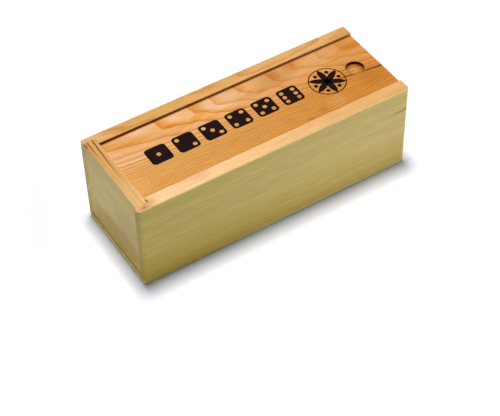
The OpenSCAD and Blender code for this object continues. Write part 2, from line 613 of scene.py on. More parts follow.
@dataclass(frozen=True)
class PineFinish:
    """Lacquered pine: a board sawn from a trunk, planed, sanded and given one thin coat."""

    title: str
    spring: Colour
    summer: Colour
    contrast: float = 0.6
    tone_range: float = 0.10
    streak_range: float = 0.16
    dash_range: float = 0.0
    patch_range: float = 0.12
    end_grain: Colour = (0.78, 0.70, 0.62)
    top_tint: Colour = (1.0, 1.0, 1.0)
    bare_spring: Colour = (0.83, 0.62, 0.36)
    bare_summer: Colour = (0.70, 0.44, 0.19)
    far_tint: Colour = (1.0, 1.0, 1.0)
    top_far_tint: Colour | None = None
    # The foot fields paint shade: the faces darken towards the bottom, less so towards +X.
    foot_shade_tint: Colour = (0.80, 0.75, 0.58)
    foot: Spot = (2.0, 24.0)
    foot_shade_start: Spot = (2.5, 8.0)
    foot_shade_least: float = 0.65
    foot_shade_far_loss: float = 0.30
    patches: tuple[Patch, ...] = ()
    canal_depth: float = 0.08
    top_contrast: float = 0.35
    grain: Grain = Grain.LENGTHWAYS
    ring_width: float = 1.3
    pith: Point = (0.0, 0.0, -90.0)
    taper: float = 0.004
    wander: float = 1.6
    shift: float = 0.0
    first_ring: float = 0.0
    drift: Spot = (-120.0, 120.0)
    gloss: float = 0.05
    shine: float = 0.20
    roughness: float = 0.50
    coat_roughness: float = 0.35
    bare_contrast: float = 0.45
    bare_share: float = 0.85
    edge_reach: float = 1.4
    edge_wear_highlight: float = 0.05
    relief: float = 0.06
    ring_relief: float = 0.35
    streak_relief: float = 0.7
    canal_relief: float = 0.25
    bare_rough: float = 0.28
    end_rough: float = 0.12
    summer_smooth: float = 0.06
    streak_rough: float = 0.15
    end_coat_loss: float = 0.6

    def along_grain(self, graph: Graph, place: Field) -> Field:
        """The point, turned so that the fibres run along X and shifted to wood of its own."""
        x, y, z = graph.split(place)
        if self.grain is Grain.CROSSWAYS:
            x, y = y, x
        return graph.join(x + self.shift, y, z)

    def growth(self, graph: Graph, place: Field, wood: Field) -> Field:
        """The count of year rings at each point.

        Args:
            graph: The material's graph.
            place: The point in millimetres.
            wood: The same point, turned along the grain.

        Returns:
            The number of rings from the pith.
        """
        found = graph.use(GROWTH_RINGS, **{
            "Place": wood, "Pith": self.pith, "Ring Width": self.ring_width,
            "Taper": self.taper, "Wander": self.wander})
        return found["Rings"] + self.first_ring

    def clear(self, graph: Graph, place: Field, tone: dict[str, Field], upward: Field) -> Field:
        """The colour of the clear wood, before fibres and blemishes.

        Args:
            graph: The material's graph.
            place: The point in millimetres.
            tone: The ring's tone, as RING_TONE gives it.
            upward: 1 on faces that look up.

        Returns:
            The colour.
        """
        x, _, z = graph.split(place)
        far = x.rise(*self.drift)
        colour = graph.blend(tone["Summer Wood"] * self.contrast, self.spring, self.summer)
        side = graph.tint(far, colour, self.far_tint)
        # Painted shade: the faces darken towards the bottom, less so towards +X.
        start = self.foot_shade_least + z.rise(*self.foot_shade_start) * (1.0 - self.foot_shade_least)
        low = z.fall(*self.foot) * start * (1.0 - far * self.foot_shade_far_loss)
        side = graph.tint(low, side, self.foot_shade_tint)
        # The tops get a tint of their own: partly the pine's own tone, partly painted light, a
        # warmer lit copy of the sides' cooler shaded tone.
        plain = graph.blend(tone["Summer Wood"] * self.top_contrast, self.spring, self.summer)
        top = graph.shade(plain, self.top_tint)
        if self.top_far_tint is not None:
            top = graph.blend(far, top, graph.shade(plain, self.top_far_tint))
        return graph.blend(upward, side, top)

    def blemishes(self, graph: Graph, place: Field, colour: Field, height: Field) -> tuple[
            Field, Field]:
        """The board's own knots and splits.

        Args:
            graph: The material's graph.
            place: The point in millimetres.
            colour: The clear wood's colour.
            height: The clear wood's height.

        Returns:
            The colour and the height with the blemishes in.
        """
        return colour, height

    def material(self, low: Point, high: Point, cavity: Cavity) -> bpy.types.Material:
        """Build the material for one board.

        Args:
            low: The board's lowest corner, in millimetres.
            high: The board's highest corner, in millimetres.
            cavity: The inner space, whose walls are bare.

        Returns:
            The material.
        """
        material, graph, shader = new_material(self.title)
        place = graph.place()
        wood = self.along_grain(graph, place)
        tone = graph.use(RING_TONE, Rings=self.growth(graph, place, wood))
        fibre = graph.use(WOOD_FIBRE, Place=wood)
        edge = graph.use(SANDED_HIGHLIT_EDGES, Place=place, Low=low, High=high, Reach=self.edge_reach)
        edge = edge["Edge"]
        bare = cavity.inside(graph, place)
        facing = graph.facing()
        end_face = facing[0 if self.grain is Grain.LENGTHWAYS else 1].size().rise(0.6, 0.95)
        upward = facing[2].rise(0.5, 0.95)

        colour = self.clear(graph, place, tone, upward)
        raw = graph.blend(tone["Summer Wood"] * self.bare_contrast, self.bare_spring,
                          self.bare_summer)
        colour = graph.blend(bare * self.bare_share, colour, raw)
        colour = graph.shade(colour, 1.0 + tone["Ring Tone"].swing(self.tone_range))
        colour = graph.shade(colour, 1.0 + fibre["Streaks"].swing(self.streak_range))
        colour = graph.shade(colour, 1.0 + fibre["Dashes"].swing(self.dash_range))
        colour = graph.shade(colour, 1.0 + fibre["Patches"].swing(self.patch_range))
        colour = graph.shade(colour, 1.0 - fibre["Canals"] * self.canal_depth)
        height = 0.5 + tone["Summer Wood"].swing(self.ring_relief)
        height = height + fibre["Streaks"].swing(self.streak_relief)
        height = height - fibre["Canals"] * self.canal_relief
        colour = graph.tint(end_face, colour, self.end_grain)
        colour, height = self.blemishes(graph, place, colour, height)
        # The edge strips are painted lighter: partly sanding wear, partly a painted highlight on
        # the rounded edges.
        colour = graph.shade(colour, 1.0 + edge * self.edge_wear_highlight)

        rough = self.roughness + bare * self.bare_rough + end_face * self.end_rough
        rough = rough - tone["Summer Wood"] * self.summer_smooth
        graph.plug(colour, shader.inputs["Base Color"])
        graph.plug(rough + fibre["Streaks"].swing(self.streak_rough), shader.inputs["Roughness"])
        graph.plug((1.0 - bare) * (1.0 - end_face * self.end_coat_loss) * self.gloss,
                   shader.inputs["Coat Weight"])
        graph.plug(self.coat_roughness, shader.inputs["Coat Roughness"])
        graph.plug(self.shine, shader.inputs["Specular IOR Level"])
        graph.plug(graph.bump(height, self.relief), shader.inputs["Normal"])
        return material


@dataclass(frozen=True)
class SidePine(PineFinish):
    """The side boards' pine, with splits in the outer face and knots in the top edge.

    The spots are ranges over which a mask rises or falls. They are in millimetres, and those
    named facing are parts of the surface's normal.
    """

    splits: tuple[Split, ...] = ()
    knots: tuple[Knot, ...] = ()
    outer_face: float = 0.0
    groove_shade_tint: Colour = (0.34, 0.08, 0.0)
    groove_shade_share: float = 0.66
    groove_shade_drift: float = 0.0045
    groove: tuple[float, float, float, float] = (24.3, 28.3, 51.2, 58.1)
    groove_soft: Point = (0.1, 0.2, 0.15)
    lip_soft: Spot = (0.25, 0.05)
    floor_facing: Spot = (0.4, 0.8)
    wall_facing: Spot = (0.5, 0.9)
    end_facing: Spot = (-0.6, -0.3)
    up_facing: Spot = (0.5, 0.9)
    arris: Spot = (29.6, 31.4)
    arris_top: Spot = (56.4, 57.4)
    wall_end: Spot = (-86.5, -86.3)
    wall_foot: Spot = (3.0, 3.4)
    wall_top: Spot = (57.4, 57.9)
    wall_inner: Spot = (28.6, 29.4)
    outside_reach: Spot = (0.6, 1.4)
    upper_reach: Spot = (56.0, 57.4)
    split_stain: Colour = (0.42, 0.25, 0.07)
    split_gap: Colour = (0.12, 0.06, 0.02)
    stain_share: float = 0.30
    split_relief: float = 2.5
    knot_rim: Colour = (0.50, 0.20, 0.05)
    rim_share: float = 0.6
    knot_relief: float = 1.5
    arris_shade_tint: Colour = (1.0, 1.0, 1.0)
    wall_light_tint: Colour = (1.0, 1.0, 1.0)

    def blemishes(self, graph: Graph, place: Field, colour: Field, height: Field) -> tuple[
            Field, Field]:
        """Painted shade in the groove, the end edges, splits by X and Z outside, and knots by X and
        Y on top.

        The rabbet's small wall at the left end is painted lighter, as painted light, and the
        rounded edge beside it is painted darker, as painted shade, because both catch other light
        than the faces next to them.
        """
        x, y, z = graph.split(place)
        inner, outer, floor, lip = self.groove
        inward, outward, upward = self.groove_soft
        low, high = self.lip_soft
        # Painted shade in the groove and on the lip's inner face, stronger towards the left end.
        cut = y.size().rise(inner, inner + inward) * y.size().fall(outer, outer + outward)
        cut = cut * z.rise(floor, floor + upward) * z.fall(lip - low, lip - high)
        facing = graph.facing()
        cut = cut * facing[2].fall(*self.floor_facing) * (self.groove_shade_share - x * self.groove_shade_drift)
        colour = graph.tint(cut, colour, self.groove_shade_tint)
        # Painted light on the rabbet's small wall at the left end, which stands in shade.
        wall = x.fall(*self.wall_end) * z.rise(*self.wall_foot) * z.fall(*self.wall_top)
        wall = wall * facing[1].size().rise(*self.wall_facing) * y.fall(*self.wall_inner)
        colour = graph.tint(wall, colour, self.wall_light_tint)
        # Painted shade on the board's rounded end edge.
        end = facing[0].fall(*self.end_facing) * y.size().rise(*self.arris)
        colour = graph.tint(end * z.fall(*self.arris_top), colour, self.arris_shade_tint)
        outside = (y - self.outer_face).size().fall(*self.outside_reach)
        for split in self.splits:
            found = split.found(graph, x, z)
            shown = outside * split.opening(x)
            colour = graph.blend(found["Stain"] * shown * self.stain_share, colour,
                                 self.split_stain)
            colour = graph.blend(found["Split"] * shown * split.depth, colour, self.split_gap)
            height = height - found["Split"] * shown * self.split_relief
        upper = z.rise(*self.upper_reach)
        for knot in self.knots:
            spot = knot.found(graph, x, y)
            colour = graph.blend(spot["Rim"] * upper * knot.depth * self.rim_share, colour,
                                 self.knot_rim)
            colour = graph.blend(spot["Core"] * upper * knot.depth, colour, knot.core)
            height = height - spot["Core"] * upper * knot.depth * self.knot_relief
        for patch in self.patches:
            colour = graph.blend(facing[2].rise(*self.up_facing), colour,
                                 patch.over(graph, x, y, colour))
        return colour, height


@dataclass(frozen=True)
class EndPine(PineFinish):
    """The end boards' pine, whose rings opened a little along the top edge."""

    splits: tuple[Split, ...] = ()
    top_patches: tuple[Patch, ...] = ()
    joint: float = 28.4
    seam_reach: float = 2.4
    seam_shade: float = 0.20
    top_reach: Spot = (56.8, 57.4)
    outer_facing: Spot = (-0.9, -0.5)
    split_stain: Colour = (0.48, 0.19, 0.045)
    split_gap: Colour = (0.24, 0.075, 0.008)
    stain_share: float = 0.45
    split_relief: float = 0.6

    def blemishes(self, graph: Graph, place: Field, colour: Field, height: Field) -> tuple[
            Field, Field]:
        """The splits run on the top edge, by Y and X, and painted shade lies along the joint with
        the front board.
        """
        x, y, z = graph.split(place)
        facing = graph.facing()
        top = z.rise(*self.top_reach)
        for split in self.splits:
            found = split.found(graph, y, x)
            shown = top * split.depth * split.opening(y)
            colour = graph.blend(found["Stain"] * shown * self.stain_share, colour,
                                 self.split_stain)
            colour = graph.blend(found["Split"] * shown, colour, self.split_gap)
            height = height - found["Split"] * top * split.depth * self.split_relief
        outer = facing[0].fall(*self.outer_facing)
        # Painted shade on the outer face beside the joint with the front board, where that board's
        # end stands proud.
        seam = (y + self.joint).fall(0.0, self.seam_reach) * outer
        colour = graph.shade(colour, 1.0 - seam * self.seam_shade)
        for patch in self.patches:
            colour = graph.blend(outer, colour, patch.over(graph, y, z, colour))
        for patch in self.top_patches:
            colour = graph.blend(top, colour, patch.over(graph, y, x, colour))
        return colour, height


@dataclass(frozen=True)
class LidPine(PineFinish):
    """The lid's flat sawn pine: flames along its back half, straight lines along its front."""

    back_edge: float = 24.5
    left_edge: float = -79.5
    top: float = 56.0
    front_spring: Colour = (0.80, 0.405, 0.107)
    front_summer: Colour = (0.54, 0.215, 0.028)
    line: Colour = (0.40, 0.15, 0.03)
    fleck_tint: Colour = (0.90, 0.82, 0.66)
    crossing: Spot = (-9.0, 15.0)
    split: Split = Split((58.8, -2.6), (87.5, -6.5), 0.75)
    knots: tuple[Knot, ...] = (Knot((28.4, -21.3), 1.6, 0.7, 0.5),)
    elbow: float = 6.5
    bend_end: float = 31.0
    bend_slope: float = 0.10
    bend_cubic: float = 0.00036
    front_slope: float = 0.75
    stray_grid: Point = (0.045, 0.0, 0.0)
    stray_size: float = 14.0
    stray_zone: Spot = (8.0, 17.0)
    back_slope: float = 0.01
    fan_start: float = 14.0
    fan: float = 0.0008
    waver_grid: Point = (0.05, 0.012, 0.08)
    waver_size: float = 1.2
    quick_grid: Point = (0.12, 0.07, 0.3)
    quick_size: float = 0.35
    ripple_grid: Point = (0.07, 0.30, 0.3)
    ripple_zone: Spot = (8.0, 26.0)
    ripple_size: float = 0.7
    depth_slope: float = 0.35
    quiet_zone: Spot = (-4.0, 26.0)
    quiet_share: float = 0.45
    ring_share: float = 0.5
    ring_least: float = 0.6
    line_power: float = 4.0
    line_share: float = 0.34
    fleck_grid: Point = (0.09, 1.5, 1.0)
    fleck_detail: float = 2.0
    fleck_rough: float = 0.6
    fleck_range: Spot = (0.44, 0.74)
    turn: float = 33.5
    sparse: float = 0.031
    dense: float = 0.056
    notch: Spot = (72.8, 0.0)
    notch_radius: float = 5.5
    notch_pale: Colour = (1.12, 1.20, 1.50)
    notch_dim: Colour = (0.80, 0.74, 0.62)
    notch_burn_shade: Colour = (0.20, 0.06, 0.015)
    notch_middle: Spot = (0.8, 4.0)
    drill_soft: Spot = (0.02, 0.12)
    wall_ring: Spot = (0.25, 0.05)
    notch_shade_ring: Spot = (2.0, 0.2)
    notch_shade_lean: Spot = (0.5, 0.85)
    notch_shade_range: Spot = (-2.0, 4.0)
    notch_shade_front: float = 0.25
    notch_shade_back: float = 0.6
    tool_pace: float = 9.0
    tool_relief: float = 0.25
    split_stain: Colour = (0.24, 0.075, 0.012)
    split_gap: Colour = (0.19, 0.035, 0.0)
    stain_share: float = 0.55
    gap_share: float = 0.9
    split_relief: float = 0.6
    upper_depth: Spot = (2.0, 0.4)
    knot_rim: Colour = (0.42, 0.12, 0.02)
    back_shade_reach: Spot = (-1.3, -0.4)
    back_shade_share: float = 0.60
    back_shade_drift: float = 0.003
    back_shade_slant: float = 0.004
    back_shade_tint: Colour = (0.45, 0.24, 0.08)
    handled_reach: float = 13.0
    handled_wear: float = 0.05

    def growth(self, graph: Graph, place: Field, wood: Field) -> Field:
        """Rings that leave the back edge steeply and turn into straight lines to the right."""
        x, y, z = graph.split(place)
        over = x - self.left_edge
        down = self.back_edge - y
        stray = graph.noise(graph.stretch(place, self.stray_grid), 1.0)
        stray = stray.swing(self.stray_size) * down.fall(*self.stray_zone)
        past = (down - self.elbow).at_least(0.0)
        span = self.bend_end - self.elbow
        curve = past.at_most(span)
        lean = (down - self.elbow - stray).at_least(0.0).at_most(span)
        bend = down * self.back_slope + lean * self.bend_slope
        bend = bend + curve * curve * curve * self.bend_cubic
        bend = bend + (down - self.bend_end).at_least(0.0) * self.front_slope
        heads = over * self.sparse + (over - self.turn).at_least(0.0) * (self.dense - self.sparse)
        rings = bend - heads - (down - self.fan_start).at_least(0.0) * self.fan * over
        waver = graph.noise(graph.stretch(place, self.waver_grid), 1.0)
        quick = graph.noise(graph.stretch(place, self.quick_grid), 1.0)
        ripple = graph.noise(graph.stretch(place, self.ripple_grid), 1.0)
        rings = rings + waver.swing(self.waver_size) + quick.swing(self.quick_size)
        rings = rings + (ripple - 0.5) * down.rise(*self.ripple_zone) * self.ripple_size
        return rings - (z - self.top) * self.depth_slope + self.first_ring

    def clear(self, graph: Graph, place: Field, tone: dict[str, Field], upward: Field) -> Field:
        """Cream and orange flames behind, deeper lines in front, and a drift to the right."""
        x, y, _ = graph.split(place)
        front = y.fall(*self.crossing)
        spring = graph.blend(front, self.spring, self.front_spring)
        summer = graph.blend(front, self.summer, self.front_summer)
        quiet = x.rise(*self.quiet_zone) * (1.0 - front) * self.quiet_share
        strength = (tone["Ring Tone"] * self.ring_share + self.ring_least) * (1.0 - quiet)
        colour = graph.blend(tone["Summer Wood"].root().at_most(1.0) * strength, spring, summer)
        edge = (tone["Summer Wood"] ** self.line_power) * strength * self.line_share
        colour = graph.blend(edge, colour, self.line)
        flecks = graph.noise(graph.stretch(place, self.fleck_grid), self.fleck_detail,
                             self.fleck_rough)
        colour = graph.tint(flecks.rise(*self.fleck_range), colour, self.fleck_tint)
        for patch in self.patches:
            colour = patch.over(graph, x, y, colour)
        far = x.rise(*self.drift)
        return graph.tint(far, colour, self.far_tint)

    def blemishes(self, graph: Graph, place: Field, colour: Field, height: Field) -> tuple[
            Field, Field]:
        """The split by the notch, a resin spot, the wood that the drill burnt and bared with
        painted light and shade in the notch, and painted shade along the back edge.
        """
        x, y, z = graph.split(place)
        deep, shallow = self.upper_depth
        upper = z.rise(self.top - deep, self.top - shallow)
        found = self.split.found(graph, x, y)
        colour = graph.blend(found["Stain"] * upper * self.stain_share, colour, self.split_stain)
        colour = graph.blend(found["Split"] * upper * self.gap_share, colour, self.split_gap)
        height = height - found["Split"] * upper * self.split_relief
        for knot in self.knots:
            rim = knot.found(graph, x, y)["Rim"]
            colour = graph.blend(rim * knot.depth, colour, self.knot_rim)
        away = ((x - self.notch[0]) ** 2.0 + (y - self.notch[1]) ** 2.0).root()
        reach = self.notch_radius
        start, full = self.drill_soft
        drilled = away.fall(reach + start, reach + full)
        drilled = drilled * z.fall(self.top - full, self.top - start)
        # Painted light in the notch: the middle is paler, partly bared wood and partly a painted
        # highlight, and dims towards the wall as painted shade.
        raw = graph.blend(away.rise(*self.notch_middle), graph.shade(colour, self.notch_pale),
                          graph.shade(colour, self.notch_dim))
        colour = graph.blend(drilled, colour, raw)
        # Painted shade on the notch's wall, strongest on the far side, over a little burn all
        # round.
        right, back = self.notch_shade_lean
        behind = (x - self.notch[0]) * right + (y - self.notch[1]) * back
        behind = behind.rise(*self.notch_shade_range)
        start, full = self.notch_shade_ring
        burnt_and_shaded = drilled * away.rise(reach - start, reach - full) * (
            self.notch_shade_front + behind * self.notch_shade_back)
        start, full = self.wall_ring
        wall = drilled * away.rise(reach - start, reach - full)
        colour = graph.tint(burnt_and_shaded.at_least(wall), colour, self.notch_burn_shade)
        height = height + drilled * (away * self.tool_pace).wave() * self.tool_relief
        # Painted shade along the lid's back edge, under the groove's lip, stronger towards the
        # left.
        wide = y - self.back_edge + x * self.back_shade_slant
        back_shade = wide.rise(*self.back_shade_reach) * upper * (self.back_shade_share - x * self.back_shade_drift)
        colour = graph.tint(back_shade, colour, self.back_shade_tint)
        handled = (away / self.handled_reach).fall(0.5, 1.0) * upper * (1.0 - drilled)
        return graph.shade(colour, 1.0 - handled * self.handled_wear), height


@dataclass(frozen=True)
class SheetFinish:
    """Thin plywood of three plies, whose core shows as a line along the edges."""

    title: str
    face: Colour
    flat: Colour
    core: Colour
    glue: Colour
    near_tint: Colour = (0.73, 0.70, 0.36)
    left_tint: Colour = (0.94, 0.92, 0.88)
    ledge_light_tint: Colour = (0.98, 1.02, 1.20)
    low_ply: float = 0.95
    high_ply: float = 2.1
    ply_soft: float = 0.08
    glue_width: float = 0.09
    glue_share: float = 0.55
    core_range: float = 0.5
    face_range: float = 0.22
    flat_facing: Spot = (0.5, 0.9)
    flat_end: Spot = (84.0, 86.0)
    summer_share: float = 0.35
    summer_tint: Colour = (0.80, 0.66, 0.50)
    ledge_end: Spot = (-86.6, -86.4)
    near_reach: Spot = (-52.0, 4.0)
    near_facing: Spot = (-0.8, -0.4)
    left_facing: Spot = (-0.9, -0.6)
    fibre_relief: float = 0.6
    relief: float = 0.05
    roughness: float = 0.62
    roughness_range: float = 0.2

    def material(self) -> bpy.types.Material:
        """Build the material of the base sheet.

        Returns:
            The material.
        """
        material, graph, shader = new_material(self.title)
        place = graph.place()
        x, y, z = graph.split(place)
        turned = graph.join(y, x, z)
        fibre = graph.use(WOOD_FIBRE, Place=place)
        crossed = graph.use(WOOD_FIBRE, Place=turned)
        rings = graph.use(GROWTH_RINGS, **{
            "Place": place, "Pith": (0.0, 20.0, -60.0), "Ring Width": 2.6,
            "Taper": 0.02, "Wander": 5.0})["Rings"]
        tone = graph.use(RING_TONE, Rings=rings)
        middle = z.rise(self.low_ply - self.ply_soft, self.low_ply) * z.fall(
            self.high_ply, self.high_ply + self.ply_soft)
        seam = (((z - self.low_ply) / self.glue_width).bell()
                + ((z - self.high_ply) / self.glue_width).bell())
        facing = graph.facing()
        flat = facing[2].size().rise(*self.flat_facing) * x.size().fall(*self.flat_end)
        outer = graph.blend(tone["Summer Wood"] * self.summer_share,
                            graph.blend(flat, self.face, self.flat),
                            tuple(c * s for c, s in zip(self.flat, self.summer_tint)))
        outer = graph.shade(outer, 1.0 + fibre["Streaks"].swing(self.face_range))
        inner = graph.shade(self.core, 1.0 + crossed["Streaks"].swing(self.core_range))
        colour = graph.blend(middle, outer, inner)
        ledge = facing[2].rise(*self.flat_facing) * x.fall(*self.ledge_end)
        near = x.fall(*self.near_reach) * facing[0].rise(*self.near_facing) * (1.0 - ledge)
        colour = graph.tint(near, colour, self.near_tint)
        left = facing[0].fall(*self.left_facing)
        colour = graph.tint(left, colour, self.left_tint)
        # Painted light on the upward ledge outside the closed end, which lies in shade.
        colour = graph.tint(ledge, colour, self.ledge_light_tint)
        colour = graph.blend(seam * self.glue_share, colour, self.glue)
        height = fibre["Streaks"] * self.fibre_relief
        height = height + crossed["Streaks"] * middle * self.fibre_relief
        graph.plug(colour, shader.inputs["Base Color"])
        graph.plug(self.roughness + fibre["Streaks"].swing(self.roughness_range),
                   shader.inputs["Roughness"])
        graph.plug(graph.bump(height, self.relief), shader.inputs["Normal"])
        return material


@dataclass(frozen=True)
class SteelFinish:
    """Bright drawn wire, a little dulled, as on small brads."""

    title: str
    bright: Colour
    dull: Colour
    roughness: float
    roughness_range: float = 0.3
    cloud_grid: Point = (1.1, 1.1, 1.1)
    cloud_detail: float = 3.0
    cloud_rough: float = 0.6
    drawn_grid: Point = (6.0, 6.0, 0.5)
    drawn_detail: float = 2.0
    dull_range: Spot = (0.35, 0.7)
    relief: float = 0.02

    def material(self) -> bpy.types.Material:
        """Build the material of the brads.

        Returns:
            The material.
        """
        material, graph, shader = new_material(self.title)
        place = graph.place()
        cloud = graph.noise(graph.stretch(place, self.cloud_grid), self.cloud_detail,
                            self.cloud_rough)
        drawn = graph.noise(graph.stretch(place, self.drawn_grid), self.drawn_detail)
        graph.plug(graph.blend(cloud.rise(*self.dull_range), self.bright, self.dull),
                   shader.inputs["Base Color"])
        graph.plug(1.0, shader.inputs["Metallic"])
        graph.plug(self.roughness + cloud.swing(self.roughness_range),
                   shader.inputs["Roughness"])
        graph.plug(graph.bump(drawn, self.relief), shader.inputs["Normal"])
        return material


@dataclass(frozen=True)
class InkFinish:
    """Dark brown marking ink, thinner where the wood took less of it."""

    title: str
    full: Colour
    thin: Colour
    roughness: float
    roughness_range: float = 0.2
    mottle_grid: Point = (0.5, 1.6, 1.0)
    mottle_detail: float = 3.0
    mottle_rough: float = 0.6
    mottle_share: float = 0.6
    fibre_share: float = 0.4
    thin_range: Spot = (0.5, 0.78)
    shine: float = 0.08
    relief: float = 0.03

    def material(self) -> bpy.types.Material:
        """Build the material of the printed marks.

        Returns:
            The material.
        """
        material, graph, shader = new_material(self.title)
        place = graph.place()
        fibre = graph.use(WOOD_FIBRE, Place=place)
        mottle = graph.noise(graph.stretch(place, self.mottle_grid), self.mottle_detail,
                             self.mottle_rough)
        thin = mottle * self.mottle_share + fibre["Streaks"] * self.fibre_share
        thin = thin.rise(*self.thin_range)
        graph.plug(graph.blend(thin, self.full, self.thin), shader.inputs["Base Color"])
        graph.plug(self.roughness + mottle.swing(self.roughness_range),
                   shader.inputs["Roughness"])
        graph.plug(self.shine, shader.inputs["Specular IOR Level"])
        graph.plug(graph.bump(fibre["Streaks"], self.relief), shader.inputs["Normal"])
        return material


def new_material(title: str) -> tuple[bpy.types.Material, Graph, bpy.types.Node]:
    """Start a node material.

    Args:
        title: The material's name.

    Returns:
        The material, its graph and its Principled BSDF.
    """
    material = bpy.data.materials.new(title)
    material.use_nodes = True
    material.node_tree.nodes.clear()
    graph = Graph(material.node_tree)
    shader = graph.add("ShaderNodeBsdfPrincipled")
    output = graph.add("ShaderNodeOutputMaterial")
    material.node_tree.links.new(shader.outputs["BSDF"], output.inputs["Surface"])
    return material, graph, shader


def corners(node: str) -> tuple[Point, Point]:
    """The lowest and highest corner of a CAD node, in millimetres."""
    low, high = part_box(node)
    return tuple(v / MM for v in low), tuple(v / MM for v in high)


def dress(node: str, material: bpy.types.Material) -> None:
    """Give a CAD node its finish.

    Args:
        node: The node's name.
        material: The finish.
    """
    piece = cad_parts[node]
    if not piece.material_slots:
        piece.data.materials.append(material)
    for slot in piece.material_slots:
        slot.material = material
    log.info("%s: finished in %s", node, material.name)


@dataclass
class Carcass:
    """The box itself: two side boards, two end boards, the base sheet and its brads."""

    front: SidePine
    back: SidePine
    ends: PineFinish
    sheet: SheetFinish
    steel: SteelFinish

    def cavity(self) -> Cavity:
        """The inner space between the boards, up to the underside of the lid."""
        return Cavity(
            (corners("closed_end")[1][0], corners("front_side")[1][1], corners("base_board")[1][2]),
            (corners("open_end")[0][0], corners("back_side")[0][1], corners("open_end")[1][2]),
        )

    def finish(self) -> None:
        """Dress every board, the base and the brads."""
        cavity = self.cavity()
        for node, pine in (("front_side", self.front), ("back_side", self.back),
                           ("closed_end", self.ends), ("open_end", self.ends)):
            dress(node, pine.material(*corners(node), cavity))
        dress("base_board", self.sheet.material())
        dress("base_brads", self.steel.material())


class Bench:
    """Modelling steps by hand: add a shape, select by place, shape it, cut it."""

    @staticmethod
    def clear() -> None:
        """Leave nothing selected."""
        if bpy.context.object is not None and bpy.context.object.mode != "OBJECT":
            bpy.ops.object.mode_set(mode="OBJECT")
        bpy.ops.object.select_all(action="DESELECT")

    @staticmethod
    def pick(piece: bpy.types.Object) -> None:
        """Select one piece alone and make it the active one."""
        Bench.clear()
        piece.select_set(True)
        bpy.context.view_layer.objects.active = piece

    @staticmethod
    def settle(piece: bpy.types.Object) -> None:
        """Put the piece's place, turn and scale into its mesh."""
        Bench.pick(piece)
        bpy.ops.object.transform_apply(location=True, rotation=True, scale=True)

    @staticmethod
    def block(name: str, centre: Point, size: Point) -> bpy.types.Object:
        """A block.

        Args:
            name: The piece's name.
            centre: Its centre, in millimetres.
            size: Its three sizes, in millimetres.

        Returns:
            The new piece, with its place in its mesh.
        """
        Bench.clear()
        bpy.ops.mesh.primitive_cube_add(size=1.0, location=tuple(c * MM for c in centre))
        piece = bpy.context.object
        piece.name = name
        piece.scale = tuple(s * MM for s in size)
        Bench.settle(piece)
        return piece

    @staticmethod
    def disc(name: str, centre: Point, radius: float, depth: float,
             sides: int) -> bpy.types.Object:
        """An upright round slab.

        Args:
            name: The piece's name.
            centre: Its centre, in millimetres.
            radius: Its radius, in millimetres.
            depth: Its height, in millimetres.
            sides: The number of its sides.

        Returns:
            The new piece, with its place in its mesh.
        """
        Bench.clear()
        bpy.ops.mesh.primitive_cylinder_add(
            vertices=sides, radius=radius * MM, depth=depth * MM,
            location=tuple(c * MM for c in centre))
        piece = bpy.context.object
        piece.name = name
        Bench.settle(piece)
        return piece

    @staticmethod
    def edit(piece: bpy.types.Object, chosen: Callable[[Vector, Vector], bool],
             work: Callable[[], object]) -> None:
        """Run an edit mode step on some of a piece's edges.

        Args:
            piece: The piece to work on.
            chosen: Says from its two ends whether an edge is selected.
            work: The step, run in edit mode.
        """
        Bench.pick(piece)
        mesh = piece.data
        bpy.context.tool_settings.mesh_select_mode = (False, True, False)
        for part in (mesh.vertices, mesh.edges, mesh.polygons):
            part.foreach_set("select", [False] * len(part))
        for edge in mesh.edges:
            ends = [mesh.vertices[i].co for i in edge.vertices]
            edge.select = chosen(*ends)
        bpy.ops.object.mode_set(mode="EDIT")
        work()
        bpy.ops.object.mode_set(mode="OBJECT")

    @staticmethod
    def combine(piece: bpy.types.Object, tools: Sequence[bpy.types.Object],
                operation: str) -> None:
        """Cut or intersect a piece with others, which are used up.

        Args:
            piece: The piece that stays.
            tools: The pieces that cut it.
            operation: DIFFERENCE or INTERSECT.
        """
        for tool in tools:
            Bench.pick(piece)
            cutter = piece.modifiers.new(operation, "BOOLEAN")
            cutter.operation = operation
            cutter.object = tool
            cutter.solver = "EXACT"
            bpy.ops.object.modifier_apply(modifier=cutter.name)
            bpy.data.objects.remove(tool)

    @staticmethod
    def join(name: str, pieces: Sequence[bpy.types.Object]) -> bpy.types.Object:
        """Join several pieces into one, which takes the name."""
        Bench.clear()
        for piece in pieces:
            piece.select_set(True)
        bpy.context.view_layer.objects.active = pieces[0]
        bpy.ops.object.join()
        joined = bpy.context.object
        joined.name = name
        return joined

    @staticmethod
    def flatten(piece: bpy.types.Object, foot: float, thickness: float) -> None:
        """Press a slab to a thin film that stands on a level.

        Args:
            piece: The slab.
            foot: The level that the film lies on, in millimetres.
            thickness: The film's thickness, in millimetres.
        """
        Bench.pick(piece)
        heights = [v.co.z for v in piece.data.vertices]
        low, high = min(heights), max(heights)
        bpy.ops.object.mode_set(mode="EDIT")
        bpy.ops.mesh.select_all(action="SELECT")
        bpy.ops.transform.translate(value=(0.0, 0.0, foot * MM - low))
        bpy.ops.transform.resize(value=(1.0, 1.0, thickness * MM / (high - low)),
                                 center_override=(0.0, 0.0, foot * MM))
        bpy.ops.object.mode_set(mode="OBJECT")


class Pips(Enum):
    """Where the pips of each value sit, on a grid of three by three."""

    ONE = ((0, 0),)
    TWO = ((-1, 1), (1, -1))
    THREE = ((-1, 1), (0, 0), (1, -1))
    FOUR = ((-1, -1), (-1, 1), (1, -1), (1, 1))
    FIVE = ((-1, -1), (-1, 1), (0, 0), (1, -1), (1, 1))
    SIX = ((-1, -1), (-1, 0), (-1, 1), (1, -1), (1, 0), (1, 1))


